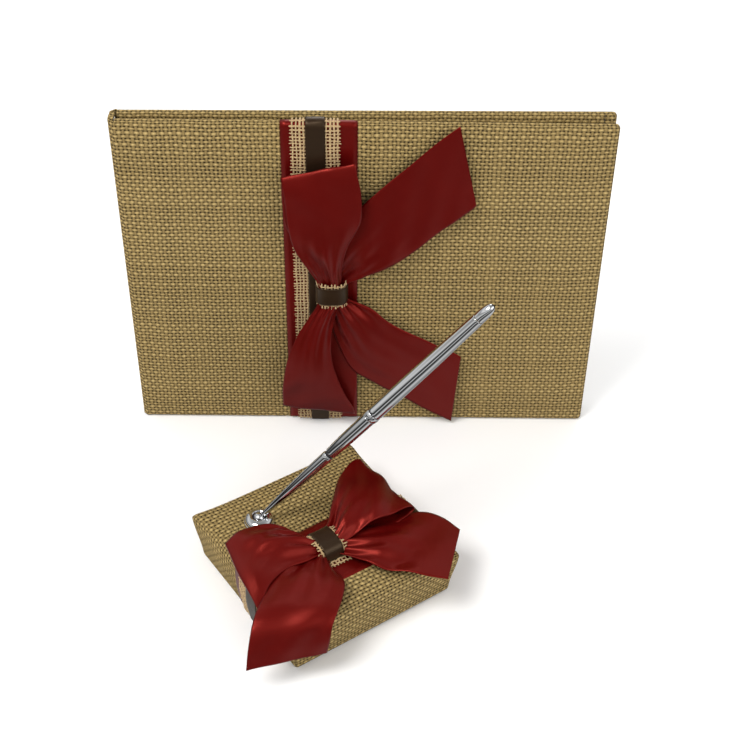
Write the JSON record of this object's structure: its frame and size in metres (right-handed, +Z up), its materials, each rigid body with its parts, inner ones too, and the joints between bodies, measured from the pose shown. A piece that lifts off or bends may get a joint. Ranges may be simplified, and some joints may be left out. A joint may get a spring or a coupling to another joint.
{
  "type": "wedding guest book set",
  "caption": "Cloth-covered padded guest book standing closed, tied with a sideways ribbon bow, with a matching bow-tied pen stand whose domed swivel holds a slim twist pen.",
  "frame": {"origin": "middle of the bottom edge of the front cover, on the table", "axes": "+X along the book's long edge to the reader's right, -Y out of the front cover towards the reader, +Z up along the book's height"},
  "size_m": [0.25, 0.2178, 0.1921],
  "materials": {
    "burlap": "open plain-weave jute, unbleached",
    "red_satin": "double-faced satin ribbon, deep red",
    "brown_satin": "satin ribbon, dark brown",
    "board": "grey binder's board",
    "padding": "white wadding",
    "paper": "uncoated cream",
    "mull": "open starched gauze",
    "headband": "woven cotton band",
    "block_wood": "plain fibreboard",
    "felt": "dark felt",
    "chrome": "polished chrome plate",
    "nylon": "black moulded",
    "steel": "bright",
    "brass": "machined",
    "refill": "ink-filled tube"
  },
  "bodies": {
    "front_cover": {"front_burlap": "burlap", "front_padding": "padding", "front_board": "board", "front_pastedown": "paper", "book_wide_ribbon": "red_satin", "book_burlap_ribbon": "burlap", "book_brown_ribbon": "brown_satin", "book_bow_upper_loop": "red_satin", "book_bow_lower_loop": "red_satin", "book_bow_upper_tail": "red_satin", "book_bow_lower_tail": "red_satin", "book_bow_knot_burlap": "burlap", "book_bow_knot_satin": "brown_satin"},
    "spine": {"spine_burlap": "burlap", "spine_board": "board", "spine_lining": "mull", "headband_top": "headband", "headband_bottom": "headband"},
    "front_flyleaf": {"front_flyleaf": "paper"},
    "signature_1": {"signature_1": "paper"},
    "signature_2": {"signature_2": "paper"},
    "signature_3": {"signature_3": "paper"},
    "signature_4": {"signature_4": "paper"},
    "back_flyleaf": {"back_flyleaf": "paper"},
    "back_cover": {"back_burlap": "burlap", "back_padding": "padding", "back_board": "board", "back_pastedown": "paper"},
    "pen_stand": {"stand_burlap": "burlap", "stand_padding": "padding", "stand_block": "block_wood", "stand_felt": "felt", "stand_wide_ribbon": "red_satin", "stand_burlap_ribbon": "burlap", "stand_brown_ribbon": "brown_satin", "stand_bow_left_loop": "red_satin", "stand_bow_right_loop": "red_satin", "stand_bow_left_tail": "red_satin", "stand_bow_right_tail": "red_satin", "stand_bow_knot_burlap": "burlap", "stand_bow_knot_satin": "brown_satin", "funnel_dome": "chrome", "funnel_screw": "steel"},
    "swivel_seat": {"swivel_seat": "nylon"},
    "swivel_ball": {"swivel_ball": "chrome"},
    "pen": {"pen_nose_cone": "chrome", "pen_joint_ring": "nylon", "pen_front_barrel": "chrome", "pen_centre_ring": "chrome"},
    "pen_top": {"pen_upper_barrel": "chrome", "pen_end_cap": "chrome", "pen_twist_cam": "brass"},
    "refill": {"pen_refill_tube": "refill", "pen_refill_tip": "steel"}
  },
  "joints": [
    {"name": "front_joint", "type": "hinge", "parent": "front_cover", "child": "spine", "pos_m": [-0.125, -0.00225, 0], "axis": [0, 0, 1], "range_deg": [0, 90]},
    {"name": "back_joint", "type": "hinge", "parent": "spine", "child": "back_cover", "pos_m": [-0.125, 0.01095, 0], "axis": [0, 0, 1], "range_deg": [0, 90]},
    {"name": "front_flyleaf_turn", "type": "hinge", "parent": "spine", "child": "front_flyleaf", "pos_m": [-0.1196, 0.00272, 0], "axis": [0, 0, 1], "range_deg": [-89, 0]},
    {"name": "signature_1_turn", "type": "hinge", "parent": "spine", "child": "signature_1", "pos_m": [-0.1191, 0.00337, 0], "axis": [0, 0, 1], "range_deg": [-89, 0]},
    {"name": "signature_2_turn", "type": "hinge", "parent": "spine", "child": "signature_2", "pos_m": [-0.1186, 0.00402, 0], "axis": [0, 0, 1], "range_deg": [-89, 0]},
    {"name": "signature_3_turn", "type": "hinge", "parent": "spine", "child": "signature_3", "pos_m": [-0.1186, 0.00468, 0], "axis": [0, 0, 1], "range_deg": [0, 89]},
    {"name": "signature_4_turn", "type": "hinge", "parent": "spine", "child": "signature_4", "pos_m": [-0.1191, 0.00532, 0], "axis": [0, 0, 1], "range_deg": [0, 89]},
    {"name": "back_flyleaf_turn", "type": "hinge", "parent": "spine", "child": "back_flyleaf", "pos_m": [-0.1196, 0.00598, 0], "axis": [0, 0, 1], "range_deg": [0, 89]},
    {"name": "stand_lift", "type": "slide", "parent": "front_cover", "child": "pen_stand", "axis": [0, 0, 1], "range_m": [0, 0.06]},
    {"name": "swivel_spin", "type": "hinge", "parent": "pen_stand", "child": "swivel_seat", "pos_m": [-0.05037, -0.11347, 0.0308], "axis": [0, 0, 1], "range_deg": [-90, 20]},
    {"name": "swivel_tilt", "type": "hinge", "parent": "swivel_seat", "child": "swivel_ball", "pos_m": [-0.05037, -0.11347, 0.0308], "axis": [-0.108, 0.9942, 0], "range_deg": [-40, 3]},
    {"name": "pen_pull", "type": "slide", "parent": "swivel_ball", "child": "pen", "axis": [0.6587, 0.0716, 0.749], "range_m": [0, 0.05]},
    {"name": "pen_twist", "type": "hinge", "parent": "pen", "child": "pen_top", "pos_m": [-0.05037, -0.11347, 0.0308], "axis": [0.6587, 0.0716, 0.749], "range_deg": [0, 180]},
    {"name": "refill_slide", "type": "slide", "parent": "pen", "child": "refill", "axis": [-0.6587, -0.0716, -0.749], "range_m": [0, 0.0025]}
  ],
  "couplings": [
    {"joint": "back_joint", "follows": "front_joint", "ratio": 1},
    {"joint": "front_flyleaf_turn", "follows": "front_joint", "ratio": -0.978},
    {"joint": "signature_1_turn", "follows": "front_joint", "ratio": -0.961},
    {"joint": "signature_2_turn", "follows": "front_joint", "ratio": -0.944},
    {"joint": "signature_3_turn", "follows": "front_joint", "ratio": 0.944},
    {"joint": "signature_4_turn", "follows": "front_joint", "ratio": 0.961},
    {"joint": "back_flyleaf_turn", "follows": "front_joint", "ratio": 0.978},
    {"joint": "refill_slide", "follows": "pen_twist", "m_per_rad": 0.000795}
  ]
}
